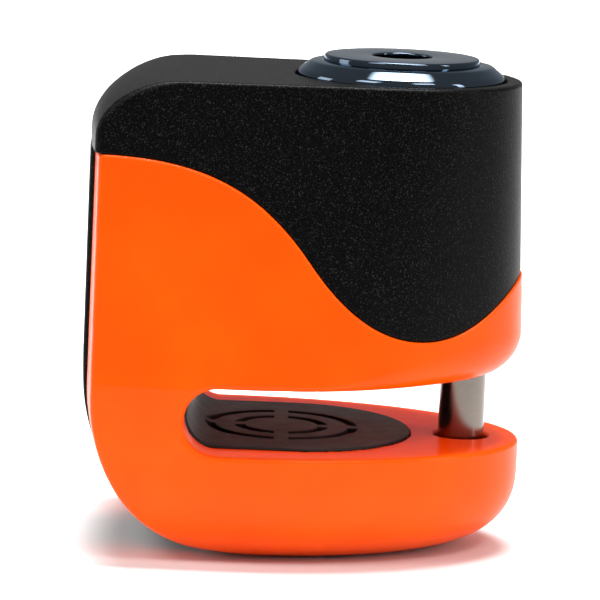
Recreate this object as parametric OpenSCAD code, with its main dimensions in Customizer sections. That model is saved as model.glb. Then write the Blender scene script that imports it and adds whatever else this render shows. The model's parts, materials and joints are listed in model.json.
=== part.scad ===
// Push-down disc brake lock for a motorcycle brake disc.
// X runs towards the open mouth of the slot, Y across the jaws, Z up towards the keyhole.
// The origin is at the middle of the underside. Millimetres. Shown locked.

/* [Body] */
// Distance from the middle to the nose of the lower jaw
nose_x = 28.6; // [28:0.1:29.5]
// Distance from the middle to the spine of the casting
spine_x = 28; // [27.5:0.1:29]
// Height of the flat top above the underside
top_z = 61.6; // [61:0.1:63]
// Half the width across the jaws
jaw_half_w = 22.7; // [21:0.1:24]
// Half the width of the top at the lock
top_half_w = 16.1; // [15.9:0.1:17]
// Half the width of the top at the spine
top_spine_half_w = 18.4; // [17:0.1:20]
// Height of the large top corner, seen from the side
shoulder_r = 7.5; // [7:0.5:11]

/* [Disc slot] */
// Height of the lower jaw's upper face
slot_z = 14.6; // [14:0.1:15]
// Height of the slot that the brake disc lies in
slot_h = 8.6; // [8:0.1:8.8]
// Where the round closed end of the slot lies
slot_end_x = -14.9; // [-16:0.1:-13]
// Thickness of the rubber liner
liner_t = 1.2; // [1:0.1:1.5]
// How far the liner stands out of its recess
liner_proud = 0.3; // [0.1:0.1:0.4]

/* [Lock cylinder] */
// Distance of the cylinder's axis from the middle, towards the nose
cap_x = 11.2; // [11:0.1:11.5]
// Radius of the sliding block
block_r = 12.9; // [12.8:0.05:12.95]
// Radius of the chrome bezel
bezel_r = 13.4; // [13.2:0.1:13.5]
// Radius of the raised face inside the bezel
face_r = 10.05; // [9.5:0.05:10.5]
// Radius of the keyhole
keyhole_r = 3.9; // [3.7:0.1:4]
// How far the cylinder pops up when the key frees it
travel = 12.8; // [12.7:0.1:12.9]

/* [Locking pin] */
// Radius of the locking pin
pin_r = 3; // [2.9:0.05:3]
// Offset of the pin from the cylinder's axis
pin_offset = 9.85; // [9.8:0.05:9.9]
// How deep the pin's tip sits in the lower jaw
pin_depth = 4; // [3.8:0.1:4]
// Radius of the hole in the lower jaw
seat_hole_r = 3.55; // [3.4:0.05:3.7]

/* [Latch and key plug] */
// Distance that the latch bolt moves
latch_travel = 2.5; // [2.4:0.1:2.6]
// Number of detainer discs behind the keyhole
disc_count = 7; // [5:1:7]

/* [Hidden] */
$fn = 96;
run_gap = 0.07;   // radial clearance of a sliding fit
fixed_gap = 0.03; // radial clearance of a pressed or screwed fit

// Outer form
slot_top = slot_z + slot_h;
bulge = 1.3;              // how far the spine bows out between its corners
corner_r = 0.8;           // vertical corners of the spine
top_edge_r = 0.5;         // rounding of the top edge
shoulder_w = 12;          // the shoulder reaches this far forward from the spine
nose_draft = 1.5;         // how much shorter the nose is at the top
jaw_mid_x = -8.8;         // where the nose ellipse starts at the slot
jaw_spine_half_w = 22.3;
belly_z = 0.6;            // underside of the casting, above the strip
belly_nose_z = 11;        // where the nose starts to round under
belly_spine_z = 21.6;     // where the spine starts to round under
belly_side_z = 10.5;      // where the sides start to round under
belly_nose_in = 16;
belly_nose_power = 2.5;   // above 2 makes the rounding under the nose fuller
belly_spine_in = 19;
belly_side_in = 11;
cover_in = 0.2;           // the cover lies this far inside the casting's surface
cover_back = 0.5;         // except at the spine, where it stands proud, flush with the strip
boss_in = 1.35;           // the casting's boss inside the cover
cavity_in = 1.25;         // the cover's hollow
boss_top = 59;
cavity_top = 59.15;
cover_hole_r = 13.77;

// Strip
strip_half_w = 10.4;
strip_bow_r = 120;        // the strip bows out across its width
strip_proud = 0.6;
strip_sunk = 1;
strip_top_z = 51.95;
strip_end_x = 6;
screw_y = 9;
screw_z = 19;

// Lock
bore_r = block_r + run_gap;
bore_z = 36;
block_z = 36.4;
block_top = 59.4;
pin_x = cap_x + pin_offset;
pin_tip_z = slot_z - pin_depth;
pin_top_z = 46.4;
bush_r = 4;
bush_top = 33.4;
seal_r = 13.6;
seal_z = 57.95;
spring_x = cap_x - 2;
spring_well_r = 6.2;
spring_well_z = 26.6;
spring_r = 4.9;
spring_wire_r = 0.6;
spring_turns = 5;
spring_top_z = 37.4;
stop_z = 52;
stop_r = 1.5;
stop_in = 1.4;            // how deep the stop pin reaches into the block

// Latch
latch_z = 40.5;
latch_h = 4;
latch_half_w = 4;
latch_tip_x = cap_x - block_r - latch_travel;
latch_back_x = 13.4;
latch_gap = 0.1;
pocket_back_x = 16.4;
lug_x = 2;
lug_t = 1.6;
lug_y = 6.9;
spring_end_x = 11.5;
latch_spring_y = 5.5;
groove_top_z = 57.6;

// Plug
shell_r = 6.6;
shell_z = 46.9;
shell_top = 59;
plug_r = 4.8;
plug_bore_r = plug_r + 0.05;
plug_z = 47;
plug_hollow_r = 3.85;
disc_z = 48.6;
disc_t = 1.1;
disc_pitch = 1.4;
disc_r = 3.78;
cam_throw = latch_travel / sqrt(2);
cam_pin_r = 1;
cam_angle = 135;
plate_r = 9;
plate_z = 59.45;
face_z = 60.65;
face_top = top_z + 2.4;
plug_face_top = face_top - 1.25;

// Outline of one level, as a closed list of points. d moves it inwards, zt and zb are
// the heights of the form's top and underside. back moves the spine outwards.
function level_t(z) = max(0, min(1, (z - slot_top) / (top_z - slot_top)));
function mix(a, b, t) = a + (b - a) * t;
function under(z, z0, zb, n = 2) = z >= z0 ? 0 : 1 - pow(max(0, 1 - pow((z0 - z) / (z0 - zb), n)), 1 / n);
function round_in(z, zt, r, w) = z <= zt - r ? 0 : w - w * sqrt(max(0, 1 - pow((z - zt + r) / r, 2)));
function nose_at(z, d, zb) = nose_x - nose_draft * level_t(z) - d
    - belly_nose_in * under(z, belly_nose_z, zb, belly_nose_power);
function spine_at(z, d, zt, zb) = -spine_x + d + round_in(z, zt, shoulder_r, shoulder_w)
    + belly_spine_in * under(z, belly_spine_z, zb);
function side_at(z, d, zb, low, high) = mix(low, high, level_t(z)) - d
    - belly_side_in * under(z, belly_side_z, zb);

function outline(z, d, zt, zb, back) = let (
        e = d + round_in(z, zt, top_edge_r, top_edge_r),
        nx = nose_at(z, e, zb), sx = spine_at(z, d - back, zt, zb),
        w = side_at(z, e, zb, jaw_half_w, top_half_w),
        sw = side_at(z, e, zb, jaw_spine_half_w, top_spine_half_w),
        cx = sx + bulge + corner_r, cy = sw - corner_r,
        mx = max(mix(jaw_mid_x, cap_x, level_t(z)), cx + 2))
    concat(
        [for (a = [-90:7.5:90]) [mx + (nx - mx) * cos(a), w * sin(a)]],
        [for (a = [90:22.5:180]) [cx + corner_r * cos(a), cy + corner_r * sin(a)]],
        [for (k = [0.67, 0.33, 0, -0.33, -0.67]) [sx + bulge * k * k, cy * k]],
        [for (a = [180:22.5:270]) [cx + corner_r * cos(a), -cy + corner_r * sin(a)]]);

// Levels from the underside to the top; the roundings get more of them.
function levels(zt, zb) = concat(
    [for (a = [90:-15:30]) mix(zb, belly_nose_z, 1 - sin(a))],
    [8.5, belly_nose_z, 14, 18, belly_spine_z, slot_top],
    [for (a = [0:15:60]) zt - shoulder_r + shoulder_r * sin(a)],
    [for (a = [0, 30, 60, 90]) zt - top_edge_r + top_edge_r * sin(a)]);

module form(d, zt = top_z, zb = belly_z, back = 0) {
    zs = levels(zt, zb);
    rings = [for (z = zs) outline(z, d, zt, zb, back)];
    n = len(rings[0]);
    last = len(zs) - 1;
    points = [for (i = [0:last], p = rings[i]) [p[0], p[1], zs[i]]];
    sides = [for (i = [0:last - 1], j = [0:n - 1]) let (a = i * n + j, b = i * n + (j + 1) % n)
        each [[a, a + n, b + n], [a, b + n, b]]];
    under_face = [for (j = [0:n - 1]) j];
    top_face = [for (j = [n - 1:-1:0]) last * n + j];
    polyhedron(points, concat([under_face, top_face], sides));
}

// The S-shaped seam between cover and casting, as three Bezier curves
function bezier(p, t) = pow(1 - t, 3) * p[0] + 3 * t * pow(1 - t, 2) * p[1]
    + 3 * t * t * (1 - t) * p[2] + pow(t, 3) * p[3];
seam_spine = [[-28.8, 52], [-16, 52], [-7.5, 49.8], [0.2, 39.3]];
seam_middle = [[0.2, 39.3], [4.6, 33.3], [9.5, 29.3], [15.5, 29.3]];
seam_nose = [[15.5, 29.3], [20.5, 29.3], [24.6, 32.6], [28.8, 37.6]];
function seam(lift) = [for (c = [seam_spine, seam_middle, seam_nose], t = [0:0.125:0.875])
    bezier(c, t) + [0, lift]];

module above_seam(lift) {
    points = concat([[-60, 52 + lift]], seam(lift), [[60, 37.6 + lift], [60, 90], [-60, 90]]);
    rotate([90, 0, 0])
        linear_extrude(80, center = true)
            polygon(points);
}

// Slot seen from the side, open towards the nose. grow widens it all round.
module slot_profile(grow) {
    r = slot_h / 2 + grow;
    translate([slot_end_x + slot_h / 2, slot_z + slot_h / 2]) {
        circle(r);
        translate([0, -r])
            square([80, 2 * r]);
    }
}

module slot_solid(grow, half_w) {
    rotate([90, 0, 0])
        linear_extrude(2 * half_w, center = true)
            slot_profile(grow);
}

// Leaf-shaped outline of the liner, seen from above
liner_mid_x = -1;
liner_half_w = 16.4;
liner_nose = 15.4;
module liner_outline(grow) {
    half_w = liner_half_w + grow;
    tip = liner_nose + grow;
    polygon(concat(
        [for (a = [-90:6:90]) [liner_mid_x + tip * cos(a), half_w * sin(a)]],
        [[-24, half_w], [-24, -half_w]]));
}

// Space of the liner: a curled sheet on the slot's floor and round its closed end
module liner_space(grow, inner) {
    intersection() {
        difference() {
            slot_solid(liner_t - liner_proud + grow, 30);
            slot_solid(inner, 31);
            translate([slot_end_x + slot_h / 2 - 1.5, -31, slot_top - 1.6])
                cube([60, 62, 6]);
        }
        translate([0, 0, slot_z - 3])
            linear_extrude(slot_h + 4)
                liner_outline(grow);
    }
}

module body_casting() {
    color("darkorange")
    difference() {
        union() {
            difference() {
                form(0);
                above_seam(0);
            }
            intersection() {
                form(boss_in, boss_top);
                translate([-40, -30, 24])
                    cube([80, 60, boss_top - 24]);
            }
        }
        slot_solid(0, 40);
        liner_space(0.05, -0.6);
        strip_pocket();
        lock_bores();
        strip_screw_holes();
    }
}

module lock_bores() {
    translate([cap_x, 0, bore_z])
        cylinder(r = bore_r, h = 40);
    translate([cap_x, 0, seal_z - 0.05])
        cylinder(r = seal_r + fixed_gap, h = 0.85);
    translate([spring_x, 0, spring_well_z])
        cylinder(r = spring_well_r, h = 20);
    translate([spring_x, 0, 24.8])
        cylinder(r = 3.2 + fixed_gap, h = 5);
    translate([pin_x, 0, slot_top - 1])
        cylinder(r = bush_r + fixed_gap, h = bush_top + 1.05 - slot_top);
    translate([pin_x, 0, bush_top - 1])
        cylinder(r = pin_r + 0.3, h = 4);
    translate([pin_x, 0, 9])
        cylinder(r = seat_hole_r, h = 8);
    translate([cap_x, 10, stop_z])
        rotate([-90, 0, 0])
            cylinder(r = stop_r + fixed_gap, h = 12);
    translate([-6.4, -latch_half_w - 0.5, latch_z - 0.7])
        cube([8, 2 * latch_half_w + 1, groove_top_z - latch_z + 0.7]);
}

module strip_screw_holes() {
    for (y = [-screw_y, screw_y])
        translate([slot_end_x, y, screw_z])
            rotate([0, -90, 0]) {
                translate([0, 0, -2])
                    cylinder(r = 2.4, h = 4.6);
                cylinder(r = 1.3, h = 20);
                translate([0, 0, 8])
                    cylinder(r = 2.7, h = 20);
            }
}

// Side view of a band along the spine and the belly. low and high are how far its two
// faces lie outside the casting's surface.
module strip_profile(low, high, top, end_x) {
    belly_h = belly_spine_z - belly_z;
    mid_x = -spine_x + belly_spine_in;
    function face(d) = concat(
        [[end_x, belly_z - d]],
        [for (a = [90:-9:0])
            [mid_x - (belly_spine_in + d) * cos(a), belly_spine_z - (belly_h + d) * sin(a)]],
        [[-spine_x - d, top]]);
    outer = face(high);
    inner = face(low);
    polygon(concat(outer, [for (i = [len(inner) - 1:-1:0]) inner[i]]));
}

module strip_band(low, high, half_w, top, end_x) {
    rotate([90, 0, 0])
        linear_extrude(2 * half_w, center = true)
            strip_profile(low, high, top, end_x);
}

module strip_pocket() {
    strip_band(-strip_sunk, 6, strip_half_w + 0.1, strip_top_z + 1, strip_end_x + 0.1);
}

module spine_strip() {
    color([0.06, 0.06, 0.06])
    difference() {
        union() {
            intersection() {
                strip_band(0.05 - strip_sunk, strip_proud, strip_half_w, strip_top_z, strip_end_x);
                translate([strip_bow_r - spine_x - strip_proud, 0, -1])
                    cylinder(r = strip_bow_r, h = 60, $fn = 240);
            }
            for (y = [-screw_y, screw_y])
                translate([slot_end_x - 8.1, y, screw_z])
                    rotate([0, -90, 0])
                        cylinder(r = 2.6, h = 4.4);
        }
        for (y = [-screw_y, screw_y])
            translate([-20, y, screw_z])
                rotate([0, -90, 0])
                    cylinder(r = 1.25 + fixed_gap, h = 6.4);
    }
}

module strip_screws() {
    color("dimgray")
    for (y = [-screw_y, screw_y])
        translate([slot_end_x - 1.1, y, screw_z])
            rotate([0, -90, 0])
                difference() {
                    union() {
                        cylinder(r = 2.2, h = 1.4);
                        cylinder(r = 1.25, h = 10.3);
                    }
                    translate([0, 0, -1])
                        cylinder(r = 1.1, h = 1.9, $fn = 6);
                }
}

module top_cover() {
    color([0.12, 0.12, 0.12])
    difference() {
        intersection() {
            form(cover_in, back = cover_back + cover_in);
            above_seam(0.05);
        }
        form(cavity_in, cavity_top);
        translate([cap_x, 0, 50])
            cylinder(r = cover_hole_r, h = 20);
    }
}

// Broken rings moulded into the liner's upper face
module liner_rings() {
    for (r = [5.5, 9.4])
        difference() {
            cylinder(r = r + 0.65, h = 2);
            translate([0, 0, -1])
                cylinder(r = r - 0.65, h = 4);
            for (a = [0, 90])
                rotate([0, 0, a])
                    translate([-15, -0.93, -1])
                        cube([30, 1.86, 4]);
        }
}

module slot_liner() {
    color([0.2, 0.2, 0.2])
    difference() {
        liner_space(0, -liner_proud);
        translate([-2.5, 0, slot_z + liner_proud - 0.5])
            liner_rings();
    }
}

module pin_bush() {
    color("silver")
    translate([pin_x, 0, slot_top + 0.05])
        difference() {
            cylinder(r = bush_r, h = bush_top - slot_top - 0.05);
            translate([0, 0, -1])
                cylinder(r = pin_r + 0.06, h = 20);
        }
}

module pin_seat() {
    color("silver")
    translate([pin_x, 0, 9])
        cylinder(r = seat_hole_r - fixed_gap, h = 1.2);
}

module dust_seal() {
    color([0.1, 0.1, 0.1])
    translate([cap_x, 0, seal_z])
        difference() {
            cylinder(r = seal_r, h = 0.75);
            translate([0, 0, -1])
                cylinder(r = block_r + 0.05, h = 3);
        }
}

module spring_post() {
    color("silver")
    translate([spring_x, 0, 24.85])
        cylinder(r = 3.2, h = 8.2);
}

// Round-wire coil: closed rings joined by slanted half turns would hide its pitch,
// so each turn is a true torus and short bars tie the turns together.
module coil(r, wire_r, turns, length) {
    pitch = (length - 2 * wire_r) / (turns - 1);
    for (i = [0:turns - 1])
        translate([0, 0, wire_r + i * pitch])
            rotate_extrude()
                translate([r, 0])
                    circle(wire_r, $fn = 16);
    for (i = [0:turns - 2])
        rotate([0, 0, 180 * (i % 2)])
            translate([r, 0, wire_r + i * pitch])
                cylinder(r = wire_r * 0.8, h = pitch, $fn = 16);
}

module return_spring() {
    color("lightgray")
    translate([spring_x, 0, spring_well_z + 0.05])
        coil(spring_r, spring_wire_r, spring_turns, spring_top_z - spring_well_z - 0.1);
}

module stop_pin() {
    color("silver")
    translate([cap_x, block_r - stop_in, stop_z])
        rotate([-90, 0, 0])
            cylinder(r = stop_r, h = 3.6);
}

module strike_plate() {
    color("silver")
    translate([-6.35, -latch_half_w - 0.4, latch_z - 0.65])
        cube([1.6, 2 * latch_half_w + 0.8, groove_top_z - latch_z + 0.55]);
}

module cylinder_block() {
    color("gray")
    translate([cap_x, 0, 0])
        difference() {
            translate([0, 0, block_z])
                cylinder(r = block_r, h = block_top - block_z);
            translate([0, 0, shell_z])
                cylinder(r = shell_r + fixed_gap, h = 20);
            translate([0, 0, latch_z + latch_h])
                cylinder(r = 4.2, h = 5);
            translate([pin_offset, 0, block_z - 1])
                cylinder(r = pin_r + fixed_gap, h = pin_top_z - block_z + 1.1);
            translate([pin_offset, -12, 42])
                rotate([-90, 0, 0])
                    cylinder(r = 0.9 + fixed_gap, h = 24);
            translate([spring_x - cap_x, 0, block_z - 1])
                cylinder(r = spring_well_r, h = spring_top_z - block_z + 1);
            stop_slot();
            latch_pocket();
            translate([0, -6, 53])
                rotate([90, 0, 0])
                    cylinder(r = 1.2 + fixed_gap, h = 10);
        }
}

module stop_slot() {
    bottom = stop_z - travel - stop_r - 0.1;
    top = stop_z + stop_r + 0.1;
    translate([-stop_r - 0.1, block_r - stop_in - 0.2, bottom])
        cube([2 * stop_r + 0.2, 5, top - bottom]);
}

module latch_pocket() {
    z = latch_z - latch_gap;
    h = latch_h + 2 * latch_gap;
    back = pocket_back_x - cap_x;
    translate([-20, -latch_half_w - latch_gap, z])
        cube([20 + back, 2 * (latch_half_w + latch_gap), h]);
    translate([lug_x - 0.5 - cap_x, 0, z])
        cube([spring_end_x - lug_x + 0.5, lug_y + 0.3, h]);
}

module bezel_cap() {
    color([0.4, 0.43, 0.48])
    translate([cap_x, 0, 0])
        rotate_extrude()
            polygon(concat(
                [[plate_r + 0.05, block_top + 0.05], [bezel_r, block_top + 0.05]],
                [for (a = [0:15:75]) [bezel_r - 1.5 + 1.5 * cos(a), face_top - 2.5 + 1.5 * sin(a)]],
                [[face_r + 0.03, face_top - 0.7], [face_r + 0.03, face_z], [plate_r + 0.05, face_z]]));
}

module face_disc() {
    color([0.45, 0.48, 0.53])
    translate([cap_x, 0, face_z])
        difference() {
            cylinder(r = face_r, h = face_top - face_z);
            translate([0, 0, plug_face_top - face_z + 0.05])
                cylinder(r = keyhole_r, h = 5);
            translate([0, 0, -1])
                cylinder(r = 3.5, h = 6);
        }
}

module drill_plate() {
    color("silver")
    translate([cap_x, 0, plate_z])
        difference() {
            cylinder(r = plate_r, h = face_z - plate_z - 0.05);
            translate([0, 0, -1])
                cylinder(r = 3.5, h = 6);
        }
}

module cylinder_shell() {
    color("goldenrod")
    translate([cap_x, 0, shell_z + 0.02])
        difference() {
            cylinder(r = shell_r, h = shell_top - shell_z);
            translate([0, 0, -1])
                cylinder(r = plug_bore_r, h = 20);
            translate([0, 0, 57.4 - shell_z])
                cylinder(r = 5.25, h = 0.8);
            translate([0, -8, 53 - shell_z])
                rotate([-90, 0, 0])
                    cylinder(r = 0.85, h = 2.4);
        }
}

module shell_screw() {
    color("dimgray")
    translate([cap_x, -6.65, 53])
        rotate([90, 0, 0])
            difference() {
                cylinder(r = 1.2, h = 5);
                translate([0, 0, 4])
                    cylinder(r = 0.6, h = 3, $fn = 6);
            }
}

module locking_pin() {
    color([0.78, 0.77, 0.75])
    difference() {
        translate([pin_x, 0, 0])
            rotate_extrude()
                polygon([[0, pin_tip_z], [pin_r - 0.5, pin_tip_z], [pin_r, pin_tip_z + 0.5],
                    [pin_r, pin_top_z], [0, pin_top_z]]);
        translate([pin_x, -5, 42])
            rotate([-90, 0, 0])
                cylinder(r = 0.9 + fixed_gap, h = 10);
    }
}

module pin_dowel() {
    color("silver")
    translate([pin_x, -6.8, 42])
        rotate([-90, 0, 0])
            cylinder(r = 0.9, h = 13.6);
}

module latch_spring() {
    color("lightgray")
    translate([lug_x + lug_t + 0.05, latch_spring_y, latch_z + latch_h / 2])
        rotate([0, 90, 0])
            coil(1, 0.25, 7, spring_end_x - lug_x - lug_t - 0.15);
}

module latch_bolt() {
    slot_w = 2 * cam_pin_r + 0.3;
    slot_x = cap_x - cam_throw / sqrt(2);
    color("silver")
    difference() {
        union() {
            translate([latch_tip_x + 1, -latch_half_w, latch_z])
                cube([latch_back_x - latch_tip_x - 1, 2 * latch_half_w, latch_h]);
            translate([latch_tip_x, -latch_half_w, latch_z])
                cube([2, 2 * latch_half_w, 2.5]);
            translate([lug_x, 0, latch_z])
                cube([lug_t, lug_y, latch_h]);
        }
        translate([slot_x - slot_w / 2, -0.4, latch_z - 1])
            cube([slot_w, 3.7, latch_h + 2]);
    }
}

module key_plug() {
    color("goldenrod")
    translate([cap_x, 0, 0])
        difference() {
            translate([0, 0, plug_z])
                cylinder(r = plug_r, h = 11.2);
            translate([0, 0, plug_z + 1.5])
                cylinder(r = plug_hollow_r, h = 12);
            translate([0, 0, plug_z - 1])
                cylinder(r = 1.5 + fixed_gap, h = 3);
            translate([0, 0, 57.4])
                difference() {
                    cylinder(r = 8, h = 0.8);
                    translate([0, 0, -1])
                        cylinder(r = 4.3, h = 3);
                }
            translate([-6, -0.8, 48.7])
                cube([3, 1.6, 8.6]);
        }
}

module plug_face() {
    color([0.6, 0.62, 0.65])
    translate([cap_x, 0, 0])
        difference() {
            union() {
                translate([0, 0, 58.3])
                    cylinder(r = 4.7, h = 0.9);
                translate([0, 0, 58.3])
                    cylinder(r = 3.4, h = plug_face_top - 58.3);
            }
            translate([-0.95, -2.6, 50])
                cube([1.9, 5.2, 20]);
        }
}

// Detainer discs: each has the same key slot and a gate at its own angle
module code_discs() {
    color("goldenrod")
    for (i = [0:disc_count - 1])
        translate([cap_x, 0, disc_z + i * disc_pitch])
            difference() {
                cylinder(r = disc_r, h = disc_t);
                translate([-0.95, -2.6, -1])
                    cube([1.9, 5.2, 4]);
                rotate([0, 0, 180])
                    translate([3.1, -0.8, -1])
                        cube([2, 1.6, 4]);
                rotate([0, 0, 60 + 15 * ((i * 3) % 5)])
                    translate([3.3, -0.5, -1])
                        cube([2, 1, 4]);
            }
}

module disc_spacers() {
    color("silver")
    for (i = [0:disc_count - 2])
        translate([cap_x, 0, disc_z + disc_t + 0.03 + i * disc_pitch])
            difference() {
                cylinder(r = disc_r, h = 0.24);
                translate([0, 0, -1])
                    cylinder(r = 2.95, h = 3);
            }
}

module side_bar() {
    color("silver")
    translate([cap_x - 4.72, -0.72, 48.8])
        cube([0.8, 1.44, 8.4]);
}

module plug_cam() {
    color("silver")
    translate([cap_x, 0, 0]) {
        translate([0, 0, latch_z + latch_h + 0.25])
            cylinder(r = 3.9, h = 1.85);
        translate([0, 0, 46])
            cylinder(r = 1.5, h = 2.2);
        rotate([0, 0, cam_angle])
            translate([cam_throw, 0, latch_z + 0.3])
                cylinder(r = cam_pin_r, h = latch_h + 1);
    }
}

module plug_clip() {
    color("dimgray")
    translate([cap_x, 0, 57.45])
        difference() {
            cylinder(r = 5.2, h = 0.7);
            translate([0, 0, -1])
                cylinder(r = 4.33, h = 3);
            translate([0, -1.2, -1])
                cube([8, 2.4, 3]);
        }
}

body_casting();
top_cover();
spine_strip();
strip_screws();
slot_liner();
pin_bush();
pin_seat();
dust_seal();
spring_post();
return_spring();
stop_pin();
strike_plate();
cylinder_block();
bezel_cap();
face_disc();
drill_plate();
cylinder_shell();
shell_screw();
locking_pin();
pin_dowel();
latch_spring();
latch_bolt();
key_plug();
plug_face();
code_discs();
disc_spacers();
side_bar();
plug_cam();
plug_clip();
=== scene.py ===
"""Push-down disc brake lock: the looks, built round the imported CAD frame. Metres, row frame.

The casting, cover, strip and liner are implicit solids (rounded cuts of smooth distance
fields) meshed on grids whose lines follow the seam and the slot; the round pieces are lathed.
"""
import json
import math

import bmesh
import bpy
import numpy as np
from mathutils import Matrix, Vector


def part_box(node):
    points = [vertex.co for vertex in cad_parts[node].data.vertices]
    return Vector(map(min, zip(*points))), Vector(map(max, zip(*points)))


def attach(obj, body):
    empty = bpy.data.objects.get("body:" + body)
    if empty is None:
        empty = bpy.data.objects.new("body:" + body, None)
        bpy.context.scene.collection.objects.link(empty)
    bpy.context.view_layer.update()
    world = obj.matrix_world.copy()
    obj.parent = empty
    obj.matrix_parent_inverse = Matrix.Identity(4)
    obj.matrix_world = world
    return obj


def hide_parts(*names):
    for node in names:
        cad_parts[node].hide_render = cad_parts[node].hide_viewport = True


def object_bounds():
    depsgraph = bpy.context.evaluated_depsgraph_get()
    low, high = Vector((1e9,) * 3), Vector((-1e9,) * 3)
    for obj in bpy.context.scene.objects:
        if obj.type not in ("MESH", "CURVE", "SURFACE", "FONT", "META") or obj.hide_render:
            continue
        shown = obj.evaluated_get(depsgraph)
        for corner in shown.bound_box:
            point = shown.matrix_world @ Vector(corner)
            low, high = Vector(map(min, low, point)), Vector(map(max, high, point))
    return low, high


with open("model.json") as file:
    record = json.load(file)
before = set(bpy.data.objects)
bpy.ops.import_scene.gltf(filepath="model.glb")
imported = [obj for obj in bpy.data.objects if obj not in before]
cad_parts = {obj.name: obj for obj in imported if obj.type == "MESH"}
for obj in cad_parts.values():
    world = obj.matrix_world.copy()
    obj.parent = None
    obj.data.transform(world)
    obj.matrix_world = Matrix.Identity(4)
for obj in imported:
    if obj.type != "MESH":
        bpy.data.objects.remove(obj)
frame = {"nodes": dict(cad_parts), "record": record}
cad_low, cad_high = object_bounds()
MM = 0.001


def box_mm(node):
    low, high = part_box(node)
    return [v / MM for v in low], [v / MM for v in high]


# ---------------------------------------------------------------- sizes, in mm
# The boxes of the CAD nodes.
BODY_HIGH = box_mm("body_casting")[1]
COVER_HIGH = box_mm("top_cover")[1]
STRIP_LOW, STRIP_HIGH = box_mm("spine_strip")
LINER_LOW, LINER_HIGH = box_mm("slot_liner")
BEZEL_LOW, BEZEL_HIGH = box_mm("bezel_cap")
FACE_LOW, FACE_HIGH = box_mm("face_disc")
PIN_LOW, PIN_HIGH = box_mm("locking_pin")
BLOCK_LOW, BLOCK_HIGH = box_mm("cylinder_block")
BUSH_LOW = box_mm("pin_bush")[0]
SEAT_LOW = box_mm("pin_seat")[0]

# The spine strip.
STRIP_HALF_W = STRIP_HIGH[1]
STRIP_END_X = STRIP_HIGH[0]
STRIP_PROUD, STRIP_SUNK = 0.6, 1.0     # out of the casting's face, and into it
STRIP_BELLY_PROUD = 0.1
STRIP_RISE_Z = (12, 26)                # between these heights it comes out to STRIP_PROUD
STRIP_BEND_Z = 16                      # below this it may run forward under the belly
STRIP_BACK_X = -20                     # above that it stays behind this
STRIP_EDGE_R, STRIP_TOP_R, STRIP_BACK_R = 0.4, 0.25, 0.02
STRIP_GAP, STRIP_BED_GAP = 0.1, 0.05   # play beside it and under it
POCKET_EDGE_R = 0.15

# The outer form: an elliptical nose, nearly flat sides, a bowed spine face, a rounded belly.
NOSE_X = BODY_HIGH[0]
SPINE_X = -STRIP_LOW[0] - STRIP_PROUD
TOP_Z = COVER_HIGH[2]
NO_TOP = TOP_Z + 40                    # asks form() for a body without a top
BELLY_Z = 0.15
CAP_X = (BEZEL_LOW[0] + BEZEL_HIGH[0]) / 2
JAW_MID_X = -8.8                       # the nose starts here at the jaw, and at CAP_X on top
SHORTEST_SIDE = 4
JAW_HALF_W = BODY_HIGH[1]
JAW_SPINE_HALF_W = JAW_HALF_W - 0.4
TOP_HALF_W, TOP_SPINE_HALF_W = 16.1, 18.4
NOSE_DRAFT = 1.5
BULGE, BULGE_LIMIT = 1.3, 1.3
CORNER_R, TOP_EDGE_R = 0.7, 0.5
SHOULDER_H, SHOULDER_W = 7.5, 12.0
BELLY_NOSE_Z, BELLY_SPINE_Z, BELLY_SIDE_Z = 11.0, 21.6, 10.5
BELLY_NOSE_IN, BELLY_SPINE_IN, BELLY_SIDE_IN = 16.0, 20.0, 11.0
NOSE_POWER = 2.5
STEEPEST = 0.9995                      # stops the belly just short of an infinite slope
LEAST_SLOPE = 0.35

# The disc slot, with its rounded mouth.
SLOT_TOP = BUSH_LOW[2] - 0.05
SLOT_H = 8.6
SLOT_Z = SLOT_TOP - SLOT_H
SLOT_R = SLOT_H / 2
SLOT_END_X = -14.9
SLOT_MID_X = SLOT_END_X + SLOT_R
SLOT_MID_Z = SLOT_Z + SLOT_R
LOWER_LIP_R, UPPER_LIP_R = 0.6, 0.7
NOSE_LIP_MORE, NOSE_LIP_X = 5.2, 28    # what the upper lip's radius gains from x = 0 to here

# The upper half: the casting's boss inside the cover, and the cover.
BOSS_TOP = BODY_HIGH[2]
BOSS_IN, CAVITY_IN = 1.35, 1.25
BOSS_DEPTH = 1                         # how far the boss reaches down behind the seam
CAVITY_TOP = BOSS_TOP + 0.15
SEAM_R, SEAM_GAP = 0.35, 0.07
COVER_IN, COVER_BACK = 0.2, 0.5
COVER_SEAM_R, COVER_HOLE_EDGE_R = 0.25, 0.3
COVER_HOLE_R = 13.77

# The bore for the cylinder, the locking pin's holes.
BORE_R = (BLOCK_HIGH[0] - BLOCK_LOW[0]) / 2 + 0.07
BORE_Z = BLOCK_LOW[2] - 0.4
PIN_X = (PIN_LOW[0] + PIN_HIGH[0]) / 2
PIN_R = (PIN_HIGH[0] - PIN_LOW[0]) / 2
PIN_GAP = 0.12
SEAT_HOLE_R, SEAT_EDGE_R = 3.55, 0.45

# The rubber liner of the slot and the two broken rings cut into it.
LINER_T, LINER_PROUD = 1.2, 0.3
LINER_MID_X = -1.0
LINER_HALF_W = LINER_HIGH[1]
LINER_NOSE = LINER_HIGH[0] - LINER_MID_X
LINER_GAP = 0.12
LINER_STOP, RECESS_STOP = 1.6, 1.5     # how far below the slot's roof they end
LINER_EDGE_R, LINER_PLAN_R, LINER_STOP_R = 0.2, 0.25, 0.3
RING_X = -2.5
RING_RADII = (5.5, 9.4)
RING_HALF_W, RING_BREAK_HALF_W, RING_DEPTH = 0.65, 0.93, 0.55
RING_END_R, RING_EDGE_R = 0.15, 0.12


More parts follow.
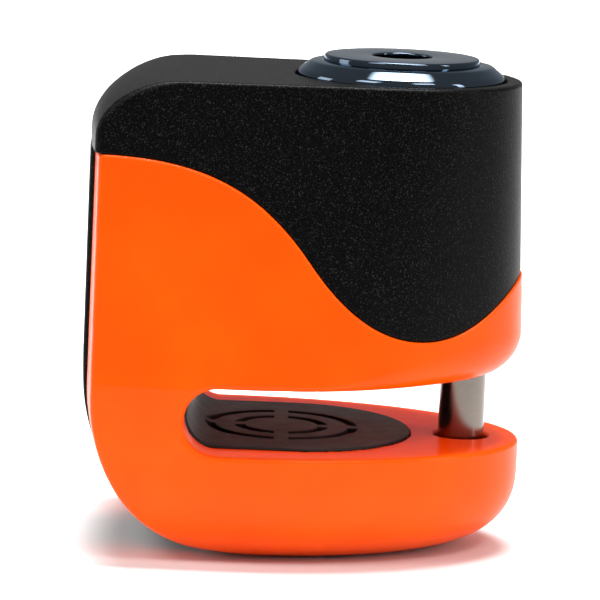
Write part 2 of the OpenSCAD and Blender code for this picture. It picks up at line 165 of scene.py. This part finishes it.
# ---------------------------------------------------------------- the S-shaped seam
def bezier(points, t):
    a, b, c, d = (np.array(q, float)[:, None] for q in points)
    return (1 - t) ** 3 * a + 3 * t * (1 - t) ** 2 * b + 3 * t * t * (1 - t) * c + t**3 * d


SEAM_CURVES = (
    ((-28.8, 52.0), (-16.0, 52.0), (-7.5, 49.8), (0.2, 39.3)),
    ((0.2, 39.3), (4.6, 33.3), (9.5, 29.3), (15.5, 29.3)),
    ((15.5, 29.3), (20.5, 29.3), (24.6, 32.6), (28.8, 37.6)),
)
SEAM = np.hstack([bezier(curve, np.linspace(0, 1, 200)) for curve in SEAM_CURVES])
SEAM_REACH = 28.7


def seam_z(x):
    return np.interp(x, SEAM[0], SEAM[1])


def seam_distance(x, z):
    h = 0.1
    slope = (seam_z(x + h) - seam_z(x - h)) / (2 * h)
    return (z - seam_z(x)) / np.sqrt(1 + slope**2)


# ---------------------------------------------------------------- distance fields, in mm
def cut(a, b, r):
    """Intersection of two fields with its edge rounded to radius r."""
    u, v = np.maximum(a + r, 0), np.maximum(b + r, 0)
    return np.minimum(np.maximum(a, b), -r) + np.sqrt(u * u + v * v)


def mix(a, b, t):
    return a + (b - a) * t


def smooth(x, low, high):
    t = np.clip((x - low) / (high - low), 0, 1)
    return t * t * (3 - 2 * t)


def under(z, z0, power=2):
    """How far the belly's rounding has come in: 0 from z0 up, near 1 at the bottom."""
    u = np.clip((z0 - z) / (z0 - BELLY_Z), 0, STEEPEST)
    return 1 - (1 - u**power) ** (1 / power)


def normalised(field):
    """Divides a field by its slope, so that it reads as a distance near its surface."""
    def distance(x, y, z):
        h = 0.02
        f = field(x, y, z)
        slope = np.sqrt(
            (field(x + h, y, z) - field(x - h, y, z)) ** 2
            + (field(x, y + h, z) - field(x, y - h, z)) ** 2
            + (field(x, y, z + h) - field(x, y, z - h)) ** 2
        ) / (2 * h)
        return f / np.maximum(slope, LEAST_SLOPE)
    return distance


def level(z):
    """0 at the upper jaw's lower face and below, 1 at the top."""
    return np.clip((z - SLOT_TOP) / (TOP_Z - SLOT_TOP), 0, 1)


def nose_and_sides(x, y, z):
    t = level(z)
    mid = mix(JAW_MID_X, CAP_X, t)
    side_in = BELLY_SIDE_IN * under(z, BELLY_SIDE_Z)
    half_w = mix(JAW_HALF_W, TOP_HALF_W, t) - side_in
    spine_w = mix(JAW_SPINE_HALF_W, TOP_SPINE_HALF_W, t) - side_in
    spine = -SPINE_X + BELLY_SPINE_IN * under(z, BELLY_SPINE_Z) + BULGE
    nose = NOSE_X - NOSE_DRAFT * t - BELLY_NOSE_IN * under(z, BELLY_NOSE_Z, NOSE_POWER)
    mid = np.maximum(mid, spine + SHORTEST_SIDE)
    reach = np.maximum((x - mid) / (nose - mid), 0)
    curved = (np.sqrt(reach**2 + (y / half_w) ** 2) - 1) * half_w
    flat_w = mix(half_w, spine_w, (mid - x) / (mid - spine))
    return np.where(x > mid, curved, np.abs(y) - flat_w)


def spine_face(x, y, z):
    side_in = BELLY_SIDE_IN * under(z, BELLY_SIDE_Z)
    spine_w = mix(JAW_SPINE_HALF_W, TOP_SPINE_HALF_W, level(z)) - side_in
    bow = BULGE * np.minimum((y / spine_w) ** 2, BULGE_LIMIT)
    return -SPINE_X + BELLY_SPINE_IN * under(z, BELLY_SPINE_Z) + bow - x


nose_and_sides_distance = normalised(nose_and_sides)
spine_distance = normalised(spine_face)


def form(x, y, z, inset, top, back=0.0):
    """The lock's outer form, moved inwards by inset, with its top at height top. back moves
    the spine face outwards."""
    sides = nose_and_sides_distance(x, y, z) + inset
    spine = spine_distance(x, y, z) + inset - back
    if top <= TOP_Z:
        spine = cut(spine * SHOULDER_H / SHOULDER_W, z - top, SHOULDER_H)
    whole = cut(cut(sides, z - top, TOP_EDGE_R), spine, CORNER_R)
    return np.maximum(whole, BELLY_Z + inset - z)


def slot_distance(x, z):
    along = np.minimum(x - SLOT_MID_X, 0)
    return np.sqrt(along**2 + (z - SLOT_MID_Z) ** 2) - SLOT_R


def rod(x, y, mid_x, r):
    return np.sqrt((x - mid_x) ** 2 + y * y) - r


def liner_plan(x, y, grow):
    """The liner's outline seen from above, grown by grow."""
    reach = np.maximum((x - LINER_MID_X) / (LINER_NOSE + grow), 0)
    return (np.sqrt(reach**2 + (y / (LINER_HALF_W + grow)) ** 2) - 1) * LINER_HALF_W


def casting_field(x, y, z):
    body = form(x, y, z, 0, TOP_Z)
    slot = slot_distance(x, z)
    upper_lip = UPPER_LIP_R + NOSE_LIP_MORE * smooth(x, 0, NOSE_LIP_X)
    solid = cut(body, -slot, np.where(z > SLOT_MID_Z, upper_lip, LOWER_LIP_R))
    solid = cut(solid, seam_distance(x, z), SEAM_R)
    boss = np.maximum(form(x, y, z, BOSS_IN, BOSS_TOP), seam_z(x) - BOSS_DEPTH - z)
    solid = np.minimum(solid, boss)

    recess = np.maximum(np.abs(slot) - (LINER_T - LINER_PROUD), liner_plan(x, y, LINER_GAP))
    recess = np.maximum(recess, z - SLOT_TOP + RECESS_STOP)
    bore = np.maximum(rod(x, y, CAP_X, BORE_R), BORE_Z - z)
    pin_hole = np.maximum(rod(x, y, PIN_X, PIN_R + PIN_GAP), SLOT_MID_Z - z)
    for hollow in (recess, bore, pin_hole):
        solid = np.maximum(solid, -hollow)

    seat = np.maximum(SEAT_LOW[2] - z, z - SLOT_MID_Z)
    solid = cut(solid, -np.maximum(rod(x, y, PIN_X, SEAT_HOLE_R), seat), SEAT_EDGE_R)
    bed = np.maximum(-(body + STRIP_SUNK + STRIP_BED_GAP), x - STRIP_END_X - STRIP_GAP)
    pocket = np.maximum(np.abs(y) - STRIP_HALF_W - STRIP_GAP, bed)
    pocket = np.where(z < STRIP_BEND_Z, pocket, np.maximum(pocket, x - STRIP_BACK_X))
    return cut(solid, -pocket, POCKET_EDGE_R)


def cover_field(x, y, z):
    outside = form(x, y, z, COVER_IN, TOP_Z, COVER_BACK + COVER_IN)
    shell = cut(outside, SEAM_GAP - seam_distance(x, z), COVER_SEAM_R)
    shell = np.maximum(shell, -form(x, y, z, CAVITY_IN, CAVITY_TOP))
    return cut(shell, -rod(x, y, CAP_X, COVER_HOLE_R), COVER_HOLE_EDGE_R)


def strip_field(x, y, z):
    body = form(x, y, z, 0, NO_TOP)
    proud = mix(STRIP_BELLY_PROUD, STRIP_PROUD, smooth(z, *STRIP_RISE_Z))
    band = cut(body - proud, -(body + STRIP_SUNK), STRIP_BACK_R)
    ends = np.where(z < STRIP_BEND_Z, x - STRIP_END_X, x - STRIP_BACK_X)
    band = cut(cut(band, np.abs(y) - STRIP_HALF_W, STRIP_EDGE_R), ends, STRIP_EDGE_R)
    return cut(band, z - STRIP_HIGH[2], STRIP_TOP_R)


def liner_field(x, y, z):
    slot = slot_distance(x, z)
    sheet = cut(slot - (LINER_T - LINER_PROUD), -slot - LINER_PROUD, LINER_EDGE_R)
    sheet = cut(sheet, liner_plan(x, y, 0), LINER_PLAN_R)
    sheet = cut(sheet, z - SLOT_TOP + LINER_STOP, LINER_STOP_R)
    dx = x - RING_X
    r = np.sqrt(dx * dx + y * y)
    for ring_r in RING_RADII:
        groove = np.abs(r - ring_r) - RING_HALF_W
        groove = cut(groove, RING_BREAK_HALF_W - np.abs(dx), RING_END_R)
        groove = cut(groove, RING_BREAK_HALF_W - np.abs(y), RING_END_R)
        groove = np.maximum(groove, SLOT_Z + LINER_PROUD - RING_DEPTH - z)
        groove = np.maximum(groove, z - SLOT_MID_Z)
        sheet = cut(sheet, -groove, RING_EDGE_R)
    return sheet


# ---------------------------------------------------------------- meshing an implicit solid
def grid_line(*stops):
    """Grid coordinates through (position, cell) stops: each cell size holds up to the next stop."""
    out = []
    for (a, cell), (b, _) in zip(stops, stops[1:]):
        count = max(1, round((b - a) / cell))
        out.extend(a + (b - a) * np.arange(count) / count)
    return np.array(out + [stops[-1][0]])


def settle(field, p, steps=4):
    """Moves points onto a field's surface; returns them and the outward normals there."""
    h, longest_step, least_square, tiny = 0.01, 0.15, 0.05, 1e-9

    def slope(q):
        return np.stack([(field(*(q + d).T) - field(*(q - d).T)) / (2 * h)
                         for d in np.eye(3) * h], -1)

    for _ in range(steps):
        g = slope(p)
        move = g * (field(*p.T) / np.maximum((g * g).sum(1), least_square))[:, None]
        length = np.linalg.norm(move, axis=1, keepdims=True)
        p = p - move * np.minimum(1, longest_step / np.maximum(length, tiny))
    g = slope(p)
    return p, g / np.maximum(np.linalg.norm(g, axis=1, keepdims=True), tiny)


def net(field, grid):
    """Surface net of field's zero level on a warped grid of shape (i, j, k, 3)."""
    f = field(grid[..., 0], grid[..., 1], grid[..., 2])
    inside = f < 0
    ni, nj, nk = f.shape
    total = np.zeros((ni - 1, nj - 1, nk - 1, 3))
    count = np.zeros((ni - 1, nj - 1, nk - 1))
    crossings = []
    for axis in range(3):
        low = [slice(None)] * 3
        high = [slice(None)] * 3
        low[axis], high[axis] = slice(0, -1), slice(1, None)
        low, high = tuple(low), tuple(high)
        hit = inside[low] != inside[high]
        a, b = f[low][hit], f[high][hit]
        t = (a / (a - b))[:, None]
        point = grid[low][hit] * (1 - t) + grid[high][hit] * t
        at = np.argwhere(hit)
        others = [k for k in range(3) if k != axis]
        for du in (0, 1):
            for dv in (0, 1):
                cell = at.copy()
                cell[:, others[0]] -= du
                cell[:, others[1]] -= dv
                np.add.at(total, tuple(cell.T), point)
                np.add.at(count, tuple(cell.T), 1)
        crossings.append((axis, others, at, inside[low][hit]))
    used = count > 0
    number = np.full(count.shape, -1)
    number[used] = np.arange(used.sum())
    verts = total[used] / count[used][:, None]
    quads = []
    for axis, others, at, inward in crossings:
        corners = []
        for du, dv in ((0, 0), (1, 0), (1, 1), (0, 1)):
            cell = at.copy()
            cell[:, others[0]] -= du
            cell[:, others[1]] -= dv
            corners.append(number[tuple(cell.T)])
        quad = np.stack(corners, 1)
        flip = inward if axis == 1 else ~inward
        quad[flip] = quad[flip][:, ::-1]
        quads.append(quad)
    return verts, np.vstack(quads)


def implicit_piece(name, field, grid, body, nodes, material):
    verts, quads = net(field, grid)
    verts, normals = settle(field, verts)
    mesh = bpy.data.meshes.new(name)
    mesh.from_pydata((verts * MM).tolist(), [], quads.tolist())
    mesh.polygons.foreach_set("use_smooth", np.ones(len(quads), bool))
    mesh.normals_split_custom_set_from_vertices(normals.tolist())
    piece = bpy.data.objects.new(name, mesh)
    bpy.context.scene.collection.objects.link(piece)
    return dress(piece, body, nodes, material)


def dress(piece, body, nodes, material):
    piece.data.materials.clear()
    piece.data.materials.append(material)
    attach(piece, body)
    if nodes:
        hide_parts(*nodes)
    return piece


def box_grid(xs, ys, zs):
    return np.stack(np.meshgrid(xs, ys, zs, indexing="ij"), -1)


def seam_grid(xs, ys, zs_low, rows_below, rows_above, top, reach):
    """A grid whose upper rows follow the seam: rows at the fixed heights zs_low, if any, then
    rows up to the seam, then rows from reach above the seam to the top. rows_below and
    rows_above hold the rows' places as numbers from 0 to 1."""
    x, y = np.meshgrid(xs, ys, indexing="ij")
    s = seam_z(np.clip(x, -SEAM_REACH, SEAM_REACH))
    start = zs_low[-1] if len(zs_low) else None
    layers = [np.full_like(x, z) for z in zs_low]
    if start is not None:
        layers += [start + (s - start) * t for t in rows_below[1:]]
    first = 0 if start is None else 1
    layers += [s + reach + (top - s - reach) * t for t in rows_above[first:]]
    z = np.stack(layers, -1)
    x = np.repeat(x[..., None], z.shape[-1], -1)
    y = np.repeat(y[..., None], z.shape[-1], -1)
    return np.stack([x, y, z], -1)


def eased(count, ends):
    """Numbers from 0 to 1, closer together near the ends named: 'low', 'high' or 'both'."""
    power = 1.6
    t = np.linspace(0, 1, count)
    if ends == "both":
        return (1 - np.cos(math.pi * t)) / 2
    return 1 - (1 - t) ** power if ends == "high" else t**power


# ---------------------------------------------------------------- materials
MATT_SPECULAR = 0.08


def material(name, colour, metallic, roughness, coat=0.0, coat_roughness=0.1):
    m = bpy.data.materials.new(name)
    m.use_nodes = True
    shader = m.node_tree.nodes["Principled BSDF"]
    shader.inputs["Base Color"].default_value = (*colour, 1)
    shader.inputs["Metallic"].default_value = metallic
    shader.inputs["Roughness"].default_value = roughness
    shader.inputs["Coat Weight"].default_value = coat
    shader.inputs["Coat Roughness"].default_value = coat_roughness
    return m, m.node_tree, shader


def noise(tree, scale, detail=2.0, roughness=0.5, stretch=(1, 1, 1)):
    """A noise texture in object coordinates; scale is in features per metre."""
    coords = tree.nodes.new("ShaderNodeTexCoord")
    mapping = tree.nodes.new("ShaderNodeMapping")
    mapping.inputs["Scale"].default_value = stretch
    texture = tree.nodes.new("ShaderNodeTexNoise")
    texture.inputs["Scale"].default_value = scale
    texture.inputs["Detail"].default_value = detail
    texture.inputs["Roughness"].default_value = roughness
    tree.links.new(coords.outputs["Object"], mapping.inputs["Vector"])
    tree.links.new(mapping.outputs["Vector"], texture.inputs["Vector"])
    return texture.outputs["Fac"]


def ramp(tree, value, stops):
    """A colour ramp; stops are (position, colour)."""
    node = tree.nodes.new("ShaderNodeValToRGB")
    elements = node.color_ramp.elements
    while len(elements) < len(stops):
        elements.new(0.5)
    for element, (position, colour) in zip(elements, stops):
        element.position = position
        element.color = (*colour, 1)
    tree.links.new(value, node.inputs["Fac"])
    return node.outputs["Color"]


def map_range(tree, value, low, high):
    node = tree.nodes.new("ShaderNodeMapRange")
    node.inputs["To Min"].default_value = low
    node.inputs["To Max"].default_value = high
    tree.links.new(value, node.inputs["Value"])
    return node.outputs["Result"]


def bump(tree, shader, value, strength, distance):
    node = tree.nodes.new("ShaderNodeBump")
    node.inputs["Strength"].default_value = strength
    node.inputs["Distance"].default_value = distance
    tree.links.new(value, node.inputs["Height"])
    tree.links.new(node.outputs["Normal"], shader.inputs["Normal"])


def grey(v):
    return (v, v, v)


def make_orange():
    deep, bright = (0.96, 0.082, 0.0), (1.0, 0.1, 0.0)
    m, tree, shader = material("orange_gloss_paint", bright, 0.0, 0.34, 0.1, 0.06)
    shader.inputs["Specular IOR Level"].default_value = MATT_SPECULAR
    shade = noise(tree, 90, 3)
    tree.links.new(ramp(tree, shade, [(0.3, deep), (0.7, bright)]), shader.inputs["Base Color"])
    tree.links.new(map_range(tree, noise(tree, 700, 4), 0.27, 0.42), shader.inputs["Roughness"])
    bump(tree, shader, noise(tree, 900, 2), 0.05, 0.0002)
    return m


def make_black(name, base, rough, grain):
    """Black plastic with a fine grain; its highest specks get a painted glint, up to 22 times the
    base colour, and the grain is also bumped.
    """
    m, tree, shader = material(name, grey(base), 0.0, rough)
    shader.inputs["Specular IOR Level"].default_value = MATT_SPECULAR
    grain_and_painted_glints = noise(tree, grain, 1, 0.4)
    # Painted glint: the highest specks are painted many times lighter than the black, standing in
    # for sparkle.
    stops = [(0.45, grey(base * 0.6)), (0.6, grey(base * 2)), (0.72, grey(base * 22))]
    tree.links.new(ramp(tree, grain_and_painted_glints, stops), shader.inputs["Base Color"])
    tree.links.new(map_range(tree, noise(tree, grain * 0.5, 2), rough - 0.07, rough + 0.08),
                   shader.inputs["Roughness"])
    bump(tree, shader, grain_and_painted_glints, 0.6, 0.00008)
    return m


def make_rubber():
    """Grey rubber with painted shade: near black below the level of the pad's upper face, in its
    grooves and round its edges.
    """
    m, tree, shader = material("liner_rubber", grey(0.04), 0.0, 0.55)
    shader.inputs["Specular IOR Level"].default_value = 0.35
    coords = tree.nodes.new("ShaderNodeTexCoord")
    split = tree.nodes.new("ShaderNodeSeparateXYZ")
    height = tree.nodes.new("ShaderNodeMapRange")
    pad_top = SLOT_Z + LINER_PROUD
    height.inputs["From Min"].default_value = (pad_top - 0.12) * MM
    height.inputs["From Max"].default_value = (pad_top - 0.02) * MM
    # Painted shade: below the pad's upper face the base colour turns near black.
    painted_shade_mix = tree.nodes.new("ShaderNodeMix")
    painted_shade_mix.data_type = "RGBA"
    painted_shade_mix.inputs["A"].default_value = (*grey(0.002), 1)
    # A cyan tint painted into the rubber to cancel the orange light bounced onto it from the slot's
    # walls.
    deep, bright = (0.012, 0.03, 0.032), (0.02, 0.048, 0.05)
    rubber = ramp(tree, noise(tree, 160, 4), [(0.3, deep), (0.75, bright)])
    tree.links.new(coords.outputs["Object"], split.inputs[0])
    tree.links.new(split.outputs["Z"], height.inputs["Value"])
    tree.links.new(height.outputs["Result"], painted_shade_mix.inputs["Factor"])
    tree.links.new(rubber, painted_shade_mix.inputs["B"])
    tree.links.new(painted_shade_mix.outputs["Result"], shader.inputs["Base Color"])
    tree.links.new(map_range(tree, noise(tree, 500, 3), 0.42, 0.62), shader.inputs["Roughness"])
    bump(tree, shader, noise(tree, 2600, 2), 0.25, 0.00006)
    return m


def make_metal(name, colour, rough, brush=(1, 1, 1), scale=400, spread=0.05, depth=0.00002,
               edge=(1, 1, 1)):
    """A metal streaked along brush; edge is its colour at a glancing angle."""
    m, tree, shader = material(name, colour, 1.0, rough)
    shader.inputs["Specular Tint"].default_value = (*edge, 1)
    streak = noise(tree, scale, 3, 0.6, brush)
    darker = tuple(c * 0.9 for c in colour)
    tree.links.new(ramp(tree, streak, [(0.3, darker), (0.7, colour)]), shader.inputs["Base Color"])
    wear = noise(tree, scale * 0.6, 3, 0.6, brush)
    tree.links.new(map_range(tree, wear, rough - spread, rough + spread),
                   shader.inputs["Roughness"])
    bump(tree, shader, streak, 0.2, depth)
    return m


ORANGE = make_orange()
COVER_BLACK = make_black("cover_black", 0.001, 0.38, 5000)
STRIP_BLACK = make_black("strip_black", 0.002, 0.46, 6000)
RUBBER = make_rubber()
CHROME = make_metal("dark_chrome", (0.07, 0.092, 0.12), 0.05, scale=150, spread=0.02,
                    depth=0.000005, edge=(0.78, 0.88, 1.0))
NICKEL = make_metal("plug_nickel", (0.55, 0.56, 0.57), 0.2)
PIN_STEEL = make_metal("pin_steel", (0.22, 0.19, 0.165), 0.2, brush=(1, 1, 8), scale=900)
STEEL = make_metal("bright_steel", (0.5, 0.5, 0.5), 0.32)
DARK_STEEL = make_metal("dark_steel", (0.06, 0.06, 0.065), 0.4)
BRASS = make_metal("brass", (0.6, 0.42, 0.17), 0.3)
ZINC = make_metal("zinc_block", (0.28, 0.29, 0.3), 0.38)
SLOT_MATERIALS = {
    "orange_paint": ORANGE, "black_cover": COVER_BLACK, "black_strip": STRIP_BLACK,
    "liner_rubber": RUBBER, "seal_rubber": RUBBER, "dark_chrome": CHROME, "plug_nickel": NICKEL,
    "pin_steel": PIN_STEEL, "bright_steel": STEEL, "dark_steel": DARK_STEEL, "brass": BRASS,
    "zinc_block": ZINC,
}


# ---------------------------------------------------------------- the moulded and cast pieces
def make_casting():
    """Its cells are finest round the pin's hole and along the walls of the strip's pocket."""
    hole, wall, edge = 4.6, STRIP_HALF_W + STRIP_GAP, 0.5
    xs = grid_line((-29.3, 0.6), (PIN_X - hole, 0.22), (PIN_X + hole, 0.4), (29.5, 1))
    ys = grid_line((-23.6, 0.6), (-wall - edge, 0.15), (-wall + edge, 0.6), (-hole, 0.22),
                   (hole, 0.6), (wall - edge, 0.15), (wall + edge, 0.6), (23.6, 1))
    zs = grid_line((-0.4, 0.5), (SLOT_Z - 1.2, 0.16), (SLOT_Z + 0.6, 0.5),
                   (SLOT_TOP - 0.6, 0.25), (SLOT_TOP + 2.2, 1))
    grid = seam_grid(xs, ys, zs, eased(46, "high"), eased(44, "low"), BOSS_TOP + 0.5, 0)
    return implicit_piece("casting", casting_field, grid, "housing", ["body_casting"],
                          ORANGE)


def make_cover():
    xs = grid_line((-29.3, 0.45), (29.3, 1))
    ys = grid_line((-21.6, 0.45), (21.6, 1))
    grid = seam_grid(xs, ys, [], [], eased(76, "both"), TOP_Z + 0.35, -0.35)
    return implicit_piece("cover", cover_field, grid, "housing", ["top_cover"],
                          COVER_BLACK)


def make_strip():
    xs = grid_line((-29.2, 0.3), (-20, 0.6), (STRIP_END_X + 0.8, 1))
    ys = grid_line((-STRIP_HALF_W - 0.6, 0.3), (-STRIP_HALF_W + 1, 1), (STRIP_HALF_W - 1, 0.3),
                   (STRIP_HALF_W + 0.6, 1))
    zs = grid_line((-0.5, 0.3), (14, 0.5), (STRIP_HIGH[2] - 1, 0.25),
                   (STRIP_HIGH[2] + 0.6, 1))
    return implicit_piece("strip", strip_field, box_grid(xs, ys, zs), "housing", ["spine_strip"],
                          STRIP_BLACK)


def make_liner():
    xs = grid_line((LINER_LOW[0] - 0.6, 0.2), (LINER_HIGH[0] + 0.6, 1))
    ys = grid_line((-LINER_HALF_W - 0.6, 0.22), (LINER_HALF_W + 0.6, 1))
    zs = grid_line((LINER_LOW[2] - 0.5, 0.15), (SLOT_Z + 0.7, 0.3), (LINER_HIGH[2] + 0.6, 1))
    return implicit_piece("liner", liner_field, box_grid(xs, ys, zs), "housing", ["slot_liner"],
                          RUBBER)


# ---------------------------------------------------------------- the lathed pieces
def rounded(points, r_of):
    """A profile with its corners rounded: points are (radius, height), r_of the rounding's
    radius at each."""
    arc_steps = 6
    out = []
    for i, (p, r) in enumerate(zip(points, r_of)):
        p = Vector(p)
        if r == 0:
            out.append(p)
            continue
        before = (Vector(points[i - 1]) - p).normalized()
        after = (Vector(points[(i + 1) % len(points)]) - p).normalized()
        half = before.angle(after) / 2
        reach = r / math.tan(half)
        centre = p + (before + after).normalized() * (r / math.sin(half))
        a, b = p + before * reach - centre, p + after * reach - centre
        for k in range(arc_steps + 1):
            t = k / arc_steps
            out.append(centre + (a * (1 - t) + b * t).normalized() * r)
    return out


def lathe(name, mid_x, points, radii, body, nodes, mat, turns=160):
    """A closed ring or a solid of revolution about the upright line at mid_x."""
    bm = bmesh.new()
    rings = []
    for r, z in rounded(points, radii):
        if r < 1e-6:
            rings.append([bm.verts.new((mid_x * MM, 0, z * MM))])
            continue
        angles = (2 * math.pi * k / turns for k in range(turns))
        rings.append([bm.verts.new(((mid_x + r * math.cos(a)) * MM, r * math.sin(a) * MM, z * MM))
                      for a in angles])
    closed = len(rings[0]) > 1 and len(rings[-1]) > 1
    pairs = list(zip(rings, rings[1:])) + ([(rings[-1], rings[0])] if closed else [])
    for low, high in pairs:
        for k in range(turns):
            j = (k + 1) % turns
            corners = [low[k % len(low)], low[j % len(low)],
                       high[j % len(high)], high[k % len(high)]]
            bm.faces.new(list(dict.fromkeys(corners)))
    bmesh.ops.recalc_face_normals(bm, faces=bm.faces)
    mesh = bpy.data.meshes.new(name)
    bm.to_mesh(mesh)
    bm.free()
    piece = bpy.data.objects.new(name, mesh)
    bpy.context.scene.collection.objects.link(piece)
    smooth_by_angle(piece, 30)
    return dress(piece, body, nodes, mat)


def smooth_by_angle(piece, degrees):
    mesh = piece.data
    mesh.polygons.foreach_set("use_smooth", np.ones(len(mesh.polygons), bool))
    mesh.set_sharp_from_angle(angle=math.radians(degrees))


def make_bezel():
    """A ring with a ledge for the face disc, a step round the disc and a sloping rim."""
    low, high = BEZEL_LOW[2], BEZEL_HIGH[2]
    r, seat_r, bore_r, ledge = BEZEL_HIGH[0] - CAP_X, 10.08, 9.1, low + 1.2
    points = [(seat_r, ledge), (seat_r, high - 0.12), (seat_r + 0.5, high - 0.02),
              (r - 1.6, high - 0.2), (r, high - 1.5), (r, low), (bore_r, low), (bore_r, ledge)]
    return lathe("bezel", CAP_X, points, [0, 0.1, 0.4, 1.2, 1.0, 0.2, 0, 0], "cylinder",
                 ["bezel_cap"], CHROME)


def make_face():
    low, high = FACE_LOW[2], FACE_HIGH[2]
    r, plug_r, keyhole_r, step = FACE_HIGH[0] - CAP_X, 3.5, 3.9, high - 1.2
    points = [(plug_r, low), (plug_r, step), (keyhole_r, step), (keyhole_r, high), (r, high),
              (r, low)]
    return lathe("face", CAP_X, points, [0, 0, 0, 0.22, 0.3, 0], "cylinder",
                 ["face_disc"], CHROME)


def make_pin():
    low, high = PIN_LOW[2], PIN_HIGH[2]
    points = [(0, low), (PIN_R, low), (PIN_R, high), (0, high)]
    return lathe("pin", PIN_X, points, [0, 0.5, 0.1, 0], "cylinder", ["locking_pin"],
                 PIN_STEEL)


def dress_cad_nodes(replaced):
    """Gives each CAD node that stays its material and a small bevel on its edges."""
    slots = {s["node"]: s["material_slot"] for s in frame["record"]["subparts"]}
    for name, node in frame["nodes"].items():
        if name in replaced:
            continue
        node.data.materials.clear()
        node.data.materials.append(SLOT_MATERIALS[slots[name]])
        bevel = node.modifiers.new("edges", "BEVEL")
        bevel.width = 0.08 * MM
        bevel.segments = 2
        bevel.limit_method = "ANGLE"
        bevel.angle_limit = math.radians(50)


# ---------------------------------------------------------------- the scene
def make_floor():
    mesh = bpy.data.meshes.new("floor")
    size = 6.0
    mesh.from_pydata([(-size, -size, 0), (size, -size, 0), (size, size, 0), (-size, size, 0)],
                     [], [(0, 1, 2, 3)])
    floor = bpy.data.objects.new("floor", mesh)
    floor.location.z = cad_low.z
    bpy.context.scene.collection.objects.link(floor)
    m, tree, shader = material("floor_white", grey(0.82), 0.0, 0.9)
    tree.links.new(ramp(tree, noise(tree, 3, 2), [(0.3, grey(0.81)), (0.7, grey(0.83))]),
                   shader.inputs["Base Color"])
    mesh.materials.append(m)


def make_camera():
    """A long lens in front of the lock and a little above it, with a slight roll."""
    azimuth, elevation, roll = math.radians(-0.5), math.radians(9.0), math.radians(2.38)
    distance, lens = 0.545, 250.5
    target = Vector((-0.7, 0, 31.5)) * MM
    back = Vector((math.sin(azimuth) * math.cos(elevation),
                   -math.cos(azimuth) * math.cos(elevation), math.sin(elevation)))
    data = bpy.data.cameras.new("camera")
    data.lens, data.sensor_width = lens, 36
    data.clip_start, data.clip_end = 0.01, 50
    camera = bpy.data.objects.new("camera", data)
    bpy.context.scene.collection.objects.link(camera)
    camera.location = target + back * distance
    turn = (-back).to_track_quat("-Z", "Y").to_matrix().to_4x4()
    camera.matrix_world = Matrix.Translation(camera.location) @ turn @ Matrix.Rotation(roll, 4, "Z")
    bpy.context.scene.camera = camera


def area_light(name, place, aim, size, power, spread):
    data = bpy.data.lights.new(name, "AREA")
    data.spread = math.radians(spread)
    data.shape = "RECTANGLE"
    data.size, data.size_y = size
    data.energy = power
    lamp = bpy.data.objects.new(name, data)
    bpy.context.scene.collection.objects.link(lamp)
    lamp.location = place
    lamp.rotation_euler = (Vector(aim) - Vector(place)).to_track_quat("-Z", "Y").to_euler()


def make_lights():
    world = bpy.data.worlds.new("world")
    bpy.context.scene.world = world
    world.use_nodes = True
    sky = world.node_tree.nodes["Background"]
    sky.inputs["Color"].default_value = (1, 1, 1, 1)
    sky.inputs["Strength"].default_value = 0.33
    middle = (0, 0, 0.03)
    area_light("backdrop_softbox", (0, 0.8, 1.1), (0, 0.8, 0), (0.7, 1.7), 10, 40)
    area_light("left_softbox", (-0.4, -0.4, 0.6), middle, (0.3, 0.3), 0.24, 60)
    area_light("right_softbox", (0.65, -0.25, 0.3), middle, (0.1, 0.45), 0.14, 60)
    area_light("front_softbox", (0.3, -0.5, 0.7), middle, (0.3, 0.2), 0.22, 60)
    area_light("spine_softbox", (-0.8, 0.1, 0.2), middle, (0.3, 0.4), 0.2, 60)


make_casting()
make_cover()
make_strip()
make_liner()
make_bezel()
make_face()
make_pin()
REPLACED = {"body_casting", "top_cover", "spine_strip", "slot_liner", "bezel_cap", "face_disc",
            "locking_pin"}
dress_cad_nodes(REPLACED)
make_floor()
make_camera()
make_lights()
bpy.context.scene.view_settings.view_transform = "Standard"
